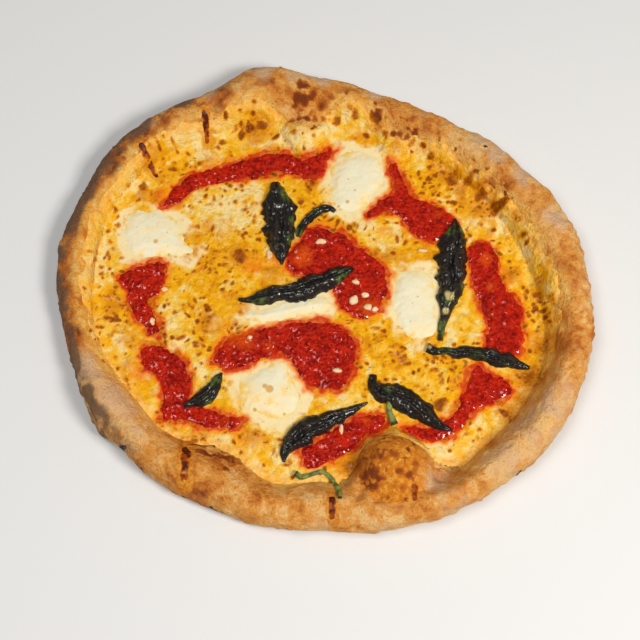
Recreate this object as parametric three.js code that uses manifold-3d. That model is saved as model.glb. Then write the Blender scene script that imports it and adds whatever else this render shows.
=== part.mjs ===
// A wood-fired margherita pizza: a leopard-spotted dough disc with a puffed
// rim, melted cheese, nine patches of tomato, five pools of mozzarella and
// nine wilted basil pieces. Millimetres, +Z up, the underside at z = 0.
import * as THREE from "three";
import { mergeVertices } from "three/addons/utils/BufferGeometryUtils.js";
import Module from "manifold-3d";

const wasm = await Module();
wasm.setup();

// Dough: how far its edge is from the centre, how wide its rim is and how high,
// evenly spaced round it from +X
const OUTER_RADII = [
  143, 139, 131, 125, 120, 121, 126, 135, 132, 139, 142, 144,
  143, 141, 140, 137, 133, 131, 130, 134, 138, 142, 146, 146,
];
const RIM_WIDTHS = [
  29, 32, 29, 27, 25, 23, 27, 30, 25, 24, 20, 20,
  20, 20, 25, 26, 34, 25, 28, 25, 20, 24, 25, 26,
];
const RIM_HEIGHTS = [22, 20, 17, 18, 20, 17, 16, 20, 21, 18, 21, 24];
const FLOOR_THICKNESS = 4;
const RIM_CREST = 0.55;
const INNER_RISE = 1.25;
const OUTER_ROUNDNESS = 2.3;
const EDGE_HEIGHT = 8.5;
// The rounding from the widest point of the rim in under the dough
const UNDERSIDE_INSETS = [1.2, 4.5, 10];
const UNDERSIDE_HEIGHTS = [4.5, 1.2, 0];
const DOUGH_SECTORS = 90;
const FLOOR_STEPS = [0.35, 0.7, 1];
const RIM_STEPS = [0.05, 0.13, 0.24, 0.37, 0.5, 0.63, 0.76, 0.88, 0.96, 1];
// Gas bubbles that stand on the rim's inner side: place, radius and height. The dough
// starts to rise a little before them, over a sector a little wider than they are.
const BUBBLE_FOOT = 1.1;
const BUBBLE_SPREAD = 1.4;
const BUBBLES = [
  { x: 36, y: -100, radius: 20, height: 19 },
  { x: -10, y: 95, radius: 12, height: 9 },
  { x: 40, y: 90, radius: 9, height: 7 },
];

// Toppings
const CHEESE_TOP = 6.25;
const CHEESE_EDGE_GAP = 1;
const CUT_GAP = 0.4;
const OUTLINE_SAMPLES = 26;
const SAUCE_TOP = 7;
const MOZZARELLA_TOP = 8.5;
// The rounding of a patch's edge, as shares of its thickness: how far in and how far up
const PATCH_ROUNDING = [[0, 0], [0, 0.6], [0.12, 0.85], [0.4, 1]];
const LEAF_SIDES = 8;
const LEAF_SECTIONS = 9;
// How slowly a leaf widens from its tips: 0.5 is an ellipse, 1 a pair of straight edges
const LEAF_POINTEDNESS = 0.6;

const SAUCE_OUTLINES = {
  sauce_top: [
    [-88, 50], [-81, 63], [-66, 72], [-46, 77], [-23, 82], [-12, 77], [0, 83], [9, 85],
    [2, 76], [-3, 62], [-20, 69], [-36, 67], [-52, 63], [-72, 60], [-79, 51],
  ],
  sauce_upper_right: [
    [36, 76], [41, 75], [48, 57], [60, 50], [73, 42], [73, 34], [58, 28], [49, 32], [42, 42],
    [33, 46], [22, 41], [27, 49], [38, 58],
  ],
  sauce_centre: [
    [-21, 14], [-17, 26], [-4, 38], [18, 27], [31, 15], [35, 2], [31, -9], [21, -16],
    [13, -12], [7, -7], [6, 1], [-4, 7],
  ],
  sauce_middle: [
    [-58, -40], [-55, -30], [-40, -23], [-24, -19], [3, -17], [15, -24], [18, -40], [11, -53],
    [-3, -56], [-13, -49], [-21, -36], [-32, -39], [-47, -44],
  ],
  sauce_left: [
    [-112, 6], [-99, 16], [-86, 17], [-88, 2], [-93, -5], [-87, -24], [-93, -24], [-103, -14],
    [-106, -2],
  ],
  sauce_lower_left: [
    [-96, -31], [-79, -35], [-69, -51], [-72, -59], [-57, -66], [-41, -73], [-55, -77],
    [-73, -72], [-85, -72], [-87, -52], [-97, -42],
  ],
  sauce_bottom: [
    [-13, -86], [0, -79], [19, -69], [33, -69], [31, -75], [17, -86], [3, -94], [-10, -97],
  ],
  sauce_lower_right: [
    [41, -75], [57, -74], [70, -65], [74, -52], [79, -42], [90, -45], [101, -55], [92, -61],
    [80, -65], [68, -79], [52, -82],
  ],
  sauce_right: [
    [79, 27], [91, 28], [95, 12], [101, -2], [106, -9], [103, -34], [86, -32], [87, -16],
    [80, 4],
  ],
};

const MOZZARELLA_OUTLINES = {
  mozzarella_upper_right: [
    [10, 82], [22, 83], [33, 77], [34, 65], [28, 54], [19, 45], [8, 46], [2, 58], [3, 72],
  ],
  mozzarella_right: [[37, 3], [42, 12], [58, 10], [61, -8], [60, -27], [48, -28], [38, -18]],
  mozzarella_left: [
    [-109, 43], [-99, 48], [-80, 42], [-76, 31], [-70, 21], [-84, 19], [-103, 19], [-111, 30],
  ],
  mozzarella_centre: [[-45, -13], [-27, -7], [0, -1], [4, -9], [-4, -15], [-20, -17], [-38, -19]],
  mozzarella_lower_left: [
    [-46, -50], [-34, -42], [-22, -38], [-14, -51], [-11, -60], [-19, -71], [-34, -70],
    [-45, -60],
  ],
};

// Basil: the line each piece lies along, its widest width, its arch and what is under it
const LEAVES = {
  basil_top: { line: [[-27, 62], [-25, 42], [-24, 17]], width: 17, arch: 5, lies: CHEESE_TOP },
  basil_curl: { line: [[-14, 30], [-8, 44], [4, 48]], width: 5, arch: 4, lies: CHEESE_TOP },
  basil_centre: {
    line: [[-47, -6], [-23, -1], [-2, 6], [14, 8]], width: 11, arch: 5, lies: MOZZARELLA_TOP,
  },
  basil_right: {
    line: [[72, 41], [70, 20], [67, -5], [63, -26]], width: 14, arch: 5, lies: MOZZARELLA_TOP,
  },
  basil_far_right: {
    line: [[54, -30], [71, -35], [90, -38], [109, -43]], width: 8, arch: 4, lies: SAUCE_TOP,
  },
  basil_lower_right: {
    line: [[27, -47], [35, -56], [54, -67], [68, -77]], width: 13, arch: 5, lies: SAUCE_TOP,
  },
  basil_bottom: {
    line: [[23, -62], [3, -72], [-12, -80], [-21, -93]], width: 11, arch: 5, lies: SAUCE_TOP,
  },
  basil_lower_left: {
    line: [[-54, -47], [-63, -57], [-75, -64]], width: 8, arch: 4, lies: SAUCE_TOP,
  },
};
const LEAF_CLEARANCE = 0.5;

// The loose stalk that runs from the sauce up over the rim
const STALK_LINE = [[-16, -98], [-9, -101], [1, -99], [6, -107], [8, -116]];
const STALK_WIDTH = 2.4;
const STALK_CLEARANCE = 1.4;

const MATERIALS = {
  dough: { color: 0xd39a5e, roughness: 0.85, metalness: 0 },
  cheese: { color: 0xefb03c, roughness: 0.45, metalness: 0 },
  sauce: { color: 0xa81c10, roughness: 0.35, metalness: 0 },
  mozzarella: { color: 0xf2e8c8, roughness: 0.35, metalness: 0 },
  basil: { color: 0x27281a, roughness: 0.4, metalness: 0 },
};

// Smooth value at an angle, from values spaced evenly round the circle
function around(values, angle) {
  const place = THREE.MathUtils.euclideanModulo(angle / (2 * Math.PI), 1) * values.length;
  const index = Math.floor(place);
  const at = (step) => values[(index + step + values.length) % values.length];
  const slopeHere = (at(1) - at(-1)) / 2;
  const slopeNext = (at(2) - at(0)) / 2;
  const t = place - index;
  const rise = at(1) - at(0);
  const cubic = 3 * rise - 2 * slopeHere - slopeNext;
  return at(0) + t * (slopeHere + t * (cubic + t * (slopeHere + slopeNext - 2 * rise)));
}

// Distance from the centre at which the rim or a bubble starts to rise
function footRadius(angle) {
  const rimFoot = around(OUTER_RADII, angle) - around(RIM_WIDTHS, angle);
  const feet = BUBBLES.map((bubble) => {
    const distance = Math.hypot(bubble.x, bubble.y);
    const nearest = distance - BUBBLE_FOOT * bubble.radius;
    const halfSpread = BUBBLE_SPREAD * Math.asin(bubble.radius / distance);
    const turned = angle - Math.atan2(bubble.y, bubble.x);
    const aside = Math.atan2(Math.sin(turned), Math.cos(turned)) / halfSpread;
    return THREE.MathUtils.lerp(nearest, rimFoot, Math.min(1, aside ** 2));
  });
  return Math.min(rimFoot, ...feet);
}

// Height of the dough's upper surface
function doughTop(x, y) {
  const angle = Math.atan2(y, x);
  const outer = around(OUTER_RADII, angle);
  const width = around(RIM_WIDTHS, angle);
  const crest = around(RIM_HEIGHTS, angle);
  const across = (Math.hypot(x, y) - outer + width) / width;
  let height = FLOOR_THICKNESS;
  if (across > 0) {
    const inward = Math.sin((Math.PI / 2) * Math.min(1, across / RIM_CREST)) ** INNER_RISE;
    const outward = THREE.MathUtils.clamp((across - RIM_CREST) / (1 - RIM_CREST), 0, 1);
    const shoulder = (1 - outward ** OUTER_ROUNDNESS) ** (1 / OUTER_ROUNDNESS);
    height = across < RIM_CREST
      ? THREE.MathUtils.lerp(FLOOR_THICKNESS, crest, inward)
      : THREE.MathUtils.lerp(EDGE_HEIGHT, crest, shoulder);
  }
  for (const bubble of BUBBLES) {
    const near = Math.hypot(x - bubble.x, y - bubble.y) / bubble.radius;
    if (near < 1) {
      height = Math.max(height, FLOOR_THICKNESS + bubble.height * Math.sqrt(1 - near ** 2));
    }
  }
  return height;
}

// A closed body through rings of equal size; the end rings are closed by end points or caps
function loft(rings, startFaces, endFaces, endPoints = []) {
  const count = rings[0].length;
  const faces = [];
  for (let ring = 0; ring + 1 < rings.length; ring += 1) {
    for (let side = 0; side < count; side += 1) {
      const next = (side + 1) % count;
      const low = ring * count;
      const high = low + count;
      faces.push([low + side, low + next, high + next]);
      faces.push([low + side, high + next, high + side]);
    }
  }
  const shift = (rings.length - 1) * count;
  faces.push(...startFaces.map(([a, b, c]) => [a, c, b]));
  faces.push(...endFaces.map((face) => face.map((index) => index + shift)));
  const positions = [...rings.flat(), ...endPoints].flat();
  const geometry = new THREE.BufferGeometry();
  geometry.setAttribute("position", new THREE.Float32BufferAttribute(positions, 3));
  geometry.setIndex(faces.flat());
  geometry.computeVertexNormals();
  return geometry;
}

// Triangles from a ring to one middle point that comes after the rings
function fan(count, middle) {
  return Array.from({ length: count }, (_, side) => [side, (side + 1) % count, middle]);
}

function doughGeometry() {
  const angles = Array.from({ length: DOUGH_SECTORS }, (_, i) => (i / DOUGH_SECTORS) * 2 * Math.PI);
  const ring = (radiusAt, heightAt) => angles.map((angle) => {
    const x = radiusAt(angle) * Math.cos(angle);
    const y = radiusAt(angle) * Math.sin(angle);
    return [x, y, heightAt(x, y)];
  });
  const underside = UNDERSIDE_INSETS.map((inset, step) => ring(
    (angle) => around(OUTER_RADII, angle) - inset,
    () => UNDERSIDE_HEIGHTS[step],
  )).reverse();
  const rim = RIM_STEPS.map((step) => ring(
    (angle) => THREE.MathUtils.lerp(footRadius(angle), around(OUTER_RADII, angle), step),
    doughTop,
  )).reverse();
  const floor = FLOOR_STEPS.map((step) => ring(
    (angle) => footRadius(angle) * step,
    () => FLOOR_THICKNESS,
  )).reverse();
  const rings = [...underside, ...rim, ...floor];
  const middle = rings.length * DOUGH_SECTORS;
  const topFan = fan(DOUGH_SECTORS, middle + 1 - (rings.length - 1) * DOUGH_SECTORS);
  const points = [[0, 0, 0], [0, 0, FLOOR_THICKNESS]];
  return loft(rings, fan(DOUGH_SECTORS, middle), topFan, points);
}

// Evenly spaced points on the smooth closed curve through the given ones, counter-clockwise
function smoothOutline(points) {
  const curve = new THREE.CatmullRomCurve3(points.map(([x, y]) => new THREE.Vector3(x, y)), true);
  const outline = curve.getSpacedPoints(OUTLINE_SAMPLES).slice(0, -1);
  const flat = outline.map((point) => new THREE.Vector2(point.x, point.y));
  return THREE.ShapeUtils.isClockWise(flat) ? flat.reverse() : flat;
}

// The outline moved out by a distance, or in if it is negative
function offset(outline, distance) {
  return outline.map((point, index) => {
    const before = outline[(index + outline.length - 1) % outline.length];
    const after = outline[(index + 1) % outline.length];
    const along = after.clone().sub(before).normalize();
    return new THREE.Vector2(point.x + along.y * distance, point.y - along.x * distance);
  });
}

function prism(outline, bottom, top) {
  const shape = new THREE.Shape(outline);
  const geometry = new THREE.ExtrudeGeometry(shape, { depth: top - bottom, bevelEnabled: false });
  return geometry.translate(0, 0, bottom);
}

// A flat-bottomed patch whose top rounds over inside its edge
function patch(outline, bottom, top) {
  const thick = top - bottom;
  const rings = PATCH_ROUNDING.map(([inset, rise]) => offset(outline, -inset * thick)
    .map(({ x, y }) => [x, y, bottom + rise * thick]));
  const faces = THREE.ShapeUtils.triangulateShape(outline, []);
  return loft(rings, faces, faces);
}

// A wilted leaf or stalk: arched sections along its line, pointed at both ends
function leafGeometry(points, width, arch) {
  const curve = new THREE.CatmullRomCurve3(points.map((point) => new THREE.Vector3(...point)));
  const rings = [];
  for (let section = 1; section <= LEAF_SECTIONS; section += 1) {
    const share = section / (LEAF_SECTIONS + 1);
    const middle = curve.getPointAt(share);
    const along = curve.getTangentAt(share);
    const across = new THREE.Vector2(-along.y, along.x).normalize();
    const fullness = Math.sin(Math.PI * share) ** LEAF_POINTEDNESS;
    const ring = [];
    for (let side = 0; side < LEAF_SIDES; side += 1) {
      const turn = (side / LEAF_SIDES) * 2 * Math.PI;
      const reach = Math.cos(turn) * fullness * width / 2;
      const lift = (1 + Math.sin(turn)) * fullness * arch / 2;
      ring.push([middle.x + across.x * reach, middle.y + across.y * reach, middle.z + lift]);
    }
    rings.push(ring);
  }
  const start = rings.length * LEAF_SIDES;
  const endFan = fan(LEAF_SIDES, start + 1 - (rings.length - 1) * LEAF_SIDES);
  const tips = [0, 1].map((share) => curve.getPointAt(share).toArray());
  return loft(rings, fan(LEAF_SIDES, start), endFan, tips);
}

function solid(geometry) {
  const bare = geometry.clone();
  bare.deleteAttribute("normal");
  bare.deleteAttribute("uv");
  const merged = mergeVertices(bare, 1e-4);
  return new wasm.Manifold(new wasm.Mesh({
    numProp: 3,
    vertProperties: merged.attributes.position.array,
    triVerts: Uint32Array.from(merged.index.array),
  }));
}

// The geometry with the cutters taken out of it
function cut(geometry, cutters) {
  const result = cutters.reduce((rest, cutter) => rest.subtract(solid(cutter)), solid(geometry));
  const mesh = result.getMesh();
  const left = new THREE.BufferGeometry();
  left.setAttribute("position", new THREE.BufferAttribute(mesh.vertProperties, 3));
  left.setIndex(new THREE.BufferAttribute(mesh.triVerts, 1));
  left.computeVertexNormals();
  return left;
}

const pizza = new THREE.Group();

function add(name, geometry, material) {
  const mesh = new THREE.Mesh(geometry, new THREE.MeshStandardMaterial(MATERIALS[material]));
  mesh.name = name;
  pizza.add(mesh);
}

add("crust", doughGeometry(), "dough");

const sauces = Object.entries(SAUCE_OUTLINES).map(([name, points]) => [name, smoothOutline(points)]);
const sauceCutters = sauces.map(
  ([, outline]) => prism(offset(outline, CUT_GAP), 0, MOZZARELLA_TOP + 1),
);

const cheeseOutline = Array.from({ length: DOUGH_SECTORS }, (_, index) => {
  const angle = (index / DOUGH_SECTORS) * 2 * Math.PI;
  const radius = footRadius(angle) - CHEESE_EDGE_GAP;
  return new THREE.Vector2(radius * Math.cos(angle), radius * Math.sin(angle));
});
add("melted_cheese", cut(prism(cheeseOutline, FLOOR_THICKNESS, CHEESE_TOP), sauceCutters), "cheese");

for (const [name, outline] of sauces) {
  add(name, patch(outline, FLOOR_THICKNESS, SAUCE_TOP), "sauce");
}

for (const [name, points] of Object.entries(MOZZARELLA_OUTLINES)) {
  const pool = patch(smoothOutline(points), CHEESE_TOP, MOZZARELLA_TOP);
  add(name, cut(pool, sauceCutters), "mozzarella");
}

for (const [name, leaf] of Object.entries(LEAVES)) {
  const line = leaf.line.map(([x, y]) => [x, y, leaf.lies + LEAF_CLEARANCE]);
  add(name, leafGeometry(line, leaf.width, leaf.arch), "basil");
}

const stalkLine = STALK_LINE.map(([x, y]) => [
  x, y, Math.max(SAUCE_TOP, doughTop(x, y)) + STALK_CLEARANCE,
]);
add("basil_stalk", leafGeometry(stalkLine, STALK_WIDTH, STALK_WIDTH), "basil");

// The origin lies under the middle of the whole
const middle = new THREE.Box3().setFromObject(pizza).getCenter(new THREE.Vector3());
pizza.position.set(-middle.x, -middle.y, 0);

export default pizza;
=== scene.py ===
import itertools
import math

import bpy
import numpy as np
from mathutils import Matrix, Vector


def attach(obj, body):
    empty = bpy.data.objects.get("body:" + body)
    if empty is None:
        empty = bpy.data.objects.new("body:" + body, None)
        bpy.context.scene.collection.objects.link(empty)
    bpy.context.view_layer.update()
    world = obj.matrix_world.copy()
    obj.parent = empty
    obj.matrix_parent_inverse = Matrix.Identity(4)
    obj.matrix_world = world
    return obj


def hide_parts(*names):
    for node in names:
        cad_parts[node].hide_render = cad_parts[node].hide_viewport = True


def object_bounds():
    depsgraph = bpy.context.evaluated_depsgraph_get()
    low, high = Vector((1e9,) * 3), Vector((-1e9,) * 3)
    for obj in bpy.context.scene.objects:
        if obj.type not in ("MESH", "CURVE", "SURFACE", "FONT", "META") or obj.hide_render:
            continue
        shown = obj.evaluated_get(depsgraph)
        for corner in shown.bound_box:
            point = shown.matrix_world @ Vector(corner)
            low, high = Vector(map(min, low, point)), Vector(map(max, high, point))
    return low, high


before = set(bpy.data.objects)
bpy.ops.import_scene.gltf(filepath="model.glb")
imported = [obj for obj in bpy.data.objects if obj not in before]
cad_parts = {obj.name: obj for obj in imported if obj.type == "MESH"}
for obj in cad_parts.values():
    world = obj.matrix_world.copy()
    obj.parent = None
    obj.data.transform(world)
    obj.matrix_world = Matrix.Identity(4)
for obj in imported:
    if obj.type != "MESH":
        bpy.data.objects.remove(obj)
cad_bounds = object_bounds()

# The crust is one disc of wheat dough, stretched thin in the middle and left thick at its
# edge, which puffed up in a very hot oven. Its fine surface runs through the sections of
# the frame's crust, and its bubbles, blisters and folds are raised on that.
mm = 0.001
sector_count = 90
section_points = 16
foot_place = 2
edge_place = 12
columns = 960
floor_rows = 6
rim_rows = 92
underside_height = 5 * mm
underside_reach = 11 * mm


def smooth_through(values, places, closed):
    """Values at fractional places along the first axis, on a smooth curve through all."""
    count = len(values)
    start = np.floor(places).astype(int)
    part = (places - start).reshape(-1, *[1] * (values.ndim - 1))

    def at(step):
        index = start + step
        return values[index % count if closed else np.clip(index, 0, count - 1)]

    before, here, after, beyond = (at(step) for step in (-1, 0, 1, 2))
    bend = 2 * before - 5 * here + 4 * after - beyond
    twist = 3 * (here - after) + beyond - before
    return here + part / 2 * (after - before + part * (bend + part * twist))


def noise(points, size, seed=0):
    """Smooth seeded noise from -1 to 1 whose lumps are about size across."""
    place = np.asarray(points) / size + 31.7 * seed
    corner = np.floor(place).astype(np.int64)
    part = place - corner
    part = part ** 3 * (part * (6 * part - 15) + 10)
    total = np.zeros(len(place))
    for step in itertools.product((0, 1), repeat=3):
        key = (corner + step) @ np.array([73856093, 19349663, 83492791])
        key = (key ^ (key >> 13)) * 1274126177 & 0x7FFFFFFF
        key = (key ^ (key >> 15)) * 668265263 & 0x7FFFFFFF
        value = (key >> 8 & 0xFFFF) / 32767.5 - 1
        total += value * np.prod(np.where(step, part, 1 - part), axis=1)
    return total


def ramp(values, low, high):
    """0 up to low, 1 from high on, smooth between; low may be above high."""
    share = np.clip((values - low) / (high - low), 0, 1)
    return share * share * (3 - 2 * share)


def blobs(points, places, falloff=1.0):
    """The strongest of soft round spots at (x, y, radius, amount), in millimetres."""
    total = np.zeros(len(points))
    for x, y, radius, amount in places:
        distance = np.hypot(points[:, 0] - x * mm, points[:, 1] - y * mm) / (radius * mm)
        total = np.maximum(total, amount * np.exp(-distance ** 2 * falloff))
    return total


def mesh_object(name, vertices, faces, masks):
    """A smooth mesh object with one number for each vertex in each named mask."""
    mesh = bpy.data.meshes.new(name)
    mesh.from_pydata(vertices, [], faces)
    mesh.polygons.foreach_set("use_smooth", np.ones(len(mesh.polygons), bool))
    for mask, values in masks.items():
        layer = mesh.attributes.new(mask, "FLOAT", "POINT")
        layer.data.foreach_set("value", np.asarray(values, np.float32))
    mesh.update()
    piece = bpy.data.objects.new(name, mesh)
    bpy.context.collection.objects.link(piece)
    return piece


def linear(red, green, blue):
    """A colour as seen on a screen, 0 to 255, as the linear colour that a shader takes."""
    shares = np.array([red, green, blue]) / 255
    values = np.where(shares < 0.04045, shares / 12.92, ((shares + 0.055) / 1.055) ** 2.4)
    return (*values, 1)


class Socket:
    """A shader value that Python's operators work on, each by adding a Math node."""

    def __init__(self, finish, output):
        self.finish = finish
        self.output = output

    def math(self, operation, *values):
        inputs = dict(enumerate(values))
        return self.finish.node("ShaderNodeMath", {"operation": operation}, inputs)

    def __add__(self, other):
        return self.math("ADD", self, other)

    def __sub__(self, other):
        return self.math("SUBTRACT", self, other)

    def __rsub__(self, other):
        return self.math("SUBTRACT", other, self)

    def __mul__(self, other):
        return self.math("MULTIPLY", self, other)

    __radd__ = __add__
    __rmul__ = __mul__

    def between(self, low, high):
        """0 below low and 1 above high, smooth between."""
        inputs = {"Value": self, "From Min": low, "From Max": high}
        return self.finish.node("ShaderNodeMapRange", {"interpolation_type": "SMOOTHSTEP"}, inputs)


class Finish:
    """A material, its one shader, and the ways to add nodes to it."""

    def __init__(self, name, **constants):
        self.material = bpy.data.materials.new(name)
        self.material.use_nodes = True
        self.tree = self.material.node_tree
        self.shader = self.tree.nodes["Principled BSDF"]
        for socket, value in constants.items():
            self.feed(self.shader, socket.replace("_", " "), value)

    def feed(self, node, socket, value):
        if isinstance(value, Socket):
            self.tree.links.new(value.output, node.inputs[socket])
        else:
            node.inputs[socket].default_value = value

    def node(self, kind, settings, inputs, output=0):
        new = self.tree.nodes.new(kind)
        for setting, value in settings.items():
            setattr(new, setting, value)
        for socket, value in inputs.items():
            self.feed(new, socket, value)
        return Socket(self, new.outputs[output])

    def mask(self, name):
        return self.node("ShaderNodeAttribute", {"attribute_name": name}, {}, "Fac")

    def grain(self, size, detail=3.0, roughness=0.6):
        """Noise from 0 to 1 with lumps of the given size."""
        place = self.node("ShaderNodeTexCoord", {}, {}, "Object")
        inputs = {"Vector": place, "Scale": 1 / size, "Detail": detail, "Roughness": roughness}
        return self.node("ShaderNodeTexNoise", {}, inputs)

    def mix(self, share, first, second):
        return self.node(
            "ShaderNodeMix", {"data_type": "RGBA"}, {0: share, 6: first, 7: second}, 2
        )

    def bump(self, height, depth):
        """Height from 0 to 1 as relief of the given depth on the shader's normal."""
        inputs = {"Height": height, "Distance": depth, "Strength": 1.0}
        self.feed(self.shader, "Normal", self.node("ShaderNodeBump", {}, inputs))

    def surface(self, **values):
        for socket, value in values.items():
            self.feed(self.shader, socket.replace("_", " "), value)


# The frame's crust as sections: for each sector, its points from the middle out over
# the rim and back in under the dough, as distance from the hub and height.
cage = np.array([vertex.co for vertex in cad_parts["crust"].data.vertices])
cage = np.unique(cage.round(6), axis=0)
hub = cage[np.argmin(np.hypot(cage[:, 0], cage[:, 1])), :2]
spokes = cage[:, :2] - hub
reaches = np.hypot(spokes[:, 0], spokes[:, 1])
sector_turn = 2 * math.pi / sector_count
sector_index = np.rint(np.arctan2(spokes[:, 1], spokes[:, 0]) / sector_turn) % sector_count
sections = np.zeros((sector_count, section_points, 2))
for index in range(sector_count):
    chosen = (sector_index == index) & (reaches > mm)
    own = np.column_stack([reaches[chosen], cage[chosen, 2]])
    under = (own[:, 1] < underside_height) & (own[:, 0] > own[:, 0].max() - underside_reach)
    upper = own[~under]
    lower = own[under]
    upper = upper[np.argsort(upper[:, 0])]
    lower = lower[np.argsort(-lower[:, 0])]
    sections[index] = np.concatenate([upper, lower])

typical = sections.mean(axis=0)
lengths = np.concatenate([[0], np.cumsum(np.hypot(*np.diff(typical, axis=0).T))])
rim_lengths = np.linspace(lengths[foot_place], lengths[-1], rim_rows)
row_places = np.concatenate([
    np.linspace(0, foot_place, floor_rows, endpoint=False),
    np.interp(rim_lengths, lengths, np.arange(section_points)),
])
turns = np.linspace(0, 2 * math.pi, columns, endpoint=False)
fine_sections = smooth_through(sections, turns / sector_turn, True)
last_place = section_points - 1.001
profile = smooth_through(fine_sections.transpose(1, 0, 2), np.minimum(row_places, last_place), False)
foot_reach = smooth_through(sections[:, foot_place, 0], turns / sector_turn, True)
edge_reach = smooth_through(sections[:, edge_place, 0], turns / sector_turn, True)

reach, height = profile[..., 0], profile[..., 1]
cosine, sine = np.cos(turns), np.sin(turns)
slope = np.gradient(profile, axis=0)
slope /= np.maximum(np.hypot(slope[..., 0], slope[..., 1]), 1e-9)[..., None]
rough = np.stack([hub[0] + reach * cosine, hub[1] + reach * sine, height], axis=-1)
rough = rough.reshape(-1, 3)
across = ((reach - foot_reach) / (edge_reach - foot_reach)).ravel()
rim_share = ramp(across, -0.02, 0.2)
beyond_edge = (row_places[:, None] > edge_place) * np.ones(columns)
standing = ramp(height.ravel(), 0.2 * mm, 5 * mm)
angle = np.degrees(np.broadcast_to(turns, reach.shape)).ravel()

# Places on the crust, as millimetres to the right, away, radius and amount. The first bubble
# is the big one, and the amount of a bubble is how high it stands.
big_bubble = (36, -99, 21, 20)
domes = [
    big_bubble, (-10, 93, 13, 8), (40, 88, 10, 6), (-10, 109, 8, 2.5), (97, 46, 5, 2.5),
    (-118, -62, 16, 2), (120, 62, 12, 2), (-130, 40, 14, 1.5), (60, 108, 14, 2), (118, -82, 16, 2),
]
# Scorched streaks, from one place to another, with half their width and how dark they are
drips = [
    (-71, -86, -71, -108, 3.2, 1.0), (4, -113, 4, -126, 2.4, 0.9), (46, -107, 46, -117, 2.0, 0.7),
    (-66, 102, -65, 86, 2.2, 0.9), (-101, 82, -92, 66, 2.2, 0.9),
]
# Small round burns, where bubbles in the dough or cheese have burst
burns = [
    (-12, 117, 4, 1), (-15, 110, 4, 1), (-11.5, 109, 3, 1.2), (-6.5, 111, 3, 1), (-2, 106.5, 3, 0.8),
    (-18, 99.5, 2.4, 0.7), (-14, 100, 2.2, 0.8), (-10, 99.5, 2.4, 0.9), (-5, 99.5, 2.2, 0.7),
    (-1, 101, 2.2, 0.7), (-17, 91.5, 2.2, 0.7), (-35, 98.5, 3.4, 1.1), (-46, 92, 3, 1.2),
    (-42, 96, 3.2, 1.2), (7, 100.5, 2.8, 0.9), (4, 111, 2.2, 0.7), (12.5, 113.5, 2, 0.6),
    (17, 102.5, 2.6, 0.9), (14, 105, 2.2, 0.6), (29.5, 101, 3.8, 1.1), (29.5, 95, 3, 0.7),
    (34, 92, 2.6, 0.9), (38, 91.5, 2.4, 1), (42, 90.5, 2.4, 0.8), (46, 89, 2.4, 0.7), (49, 86, 2.2, 0.6),
    (66, 69, 3.2, 0.9), (70, 64, 3.6, 1), (79, 63, 3.2, 0.9), (85, 54, 3, 1), (88, 60, 2.6, 0.7),
    (97, 48, 3.4, 1.1), (93, 45, 2.8, 0.9), (103, 41, 2.2, 0.5), (-100, 61, 2.8, 0.9),
    (-95.6, 56.5, 2, 0.6), (-118.7, 34, 1.8, 0.8), (-113, 38, 1.8, 0.7), (-115, 24, 1.6, 0.6),
    (-57, 88, 2.4, 0.9), (24, -102, 5, 1), (38, -102, 3, 0.8), (43, -104, 3, 0.9), (35, -93, 3.4, 0.7),
    (46, -98, 3, 0.7), (30, -96, 3, 0.6), (20, -95, 3, 0.6), (40, -110, 2.6, 0.6),
]
# Where juice has scorched into uneven brown blotches
blotches = [
    (-10, 107, 6, 1), (-60, -88, 7, 1.2), (-52, -93, 5, 1), (-68, -84, 7, 1.3), (-109, 75, 6, 0.8),
    (-100, 86, 6, 0.8), (-45, -98, 5, 0.7), (-133, 28, 6, 0.6), (-131, -9, 6, 0.5), (70, 68, 6, 0.9),
    (80, 62, 5, 0.8), (88, 57, 6, 1), (95, 49, 5, 0.9), (29, 97, 4, 0.8), (58, 78, 5, 0.7),
    (-40, 94, 5, 0.8), (40, 84, 5, 0.6), (-30, -106, 5, 0.5), (98, 57, 5, 0.7), (-98, 76, 4, 0.6),
]
# Where the foot of the rim is dark: partly toasted dough and partly painted shade in the crease where the
# rim meets the floor
shaded_and_toasted_creases = [
    (108, -47, 8, 1.3), (117, -31, 8, 1.1), (103, -60, 6, 0.8), (96, -69, 5, 1.1), (126, -18, 6, 0.6),
    (86, -84, 6, 0.6), (14, -97, 6, 1.2), (22, -84, 4, 0.4),
]
# Where it is charred black, floury and well toasted
scorches = [
    (89, 78, 2.6, 1), (95, 72, 1.8, 0.8), (101, -101, 3.2, 1), (-105, -89, 3.0, 0.9), (-57, -119, 3.4, 1),
    (-45, 125, 2.6, 0.9), (-125, -24, 1.8, 0.9), (-72, -112, 2.5, 0.7), (137, 27, 2.0, 0.9),
    (141, 12, 2.2, 0.9), (142, -14, 2.0, 0.8), (-82, -108, 3.4, 0.7), (-95, -98, 3.0, 0.7),
    (62, 112, 2.4, 0.8), (36, 120, 2.6, 0.8), (50, 116, 2.2, 0.7),
]
floury = [
    (57, -104, 8, 0.9), (-107, -62, 20, 0.7), (-122, -46, 12, 0.8), (-100, -80, 12, 0.6),
    (110, -72, 20, 0.8), (94, -96, 16, 0.6), (66, -118, 12, 0.5), (32, -127, 10, 0.5), (0, -128, 10, 0.4),
    (124, 35, 9, 0.9), (110, 62, 9, 0.9), (86, 86, 9, 0.7), (58, 102, 8, 0.5), (30, 115, 8, 0.8),
    (0, 122, 9, 0.9), (-34, 126, 8, 0.9), (-64, 112, 6, 0.7), (137, -40, 9, 0.5), (139, 0, 8, 0.4),
    (95, 75, 9, 0.8), (-14, 123, 8, 0.9), (-96, 95, 6, 0.6), (124, -60, 10, 0.5),
]
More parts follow.
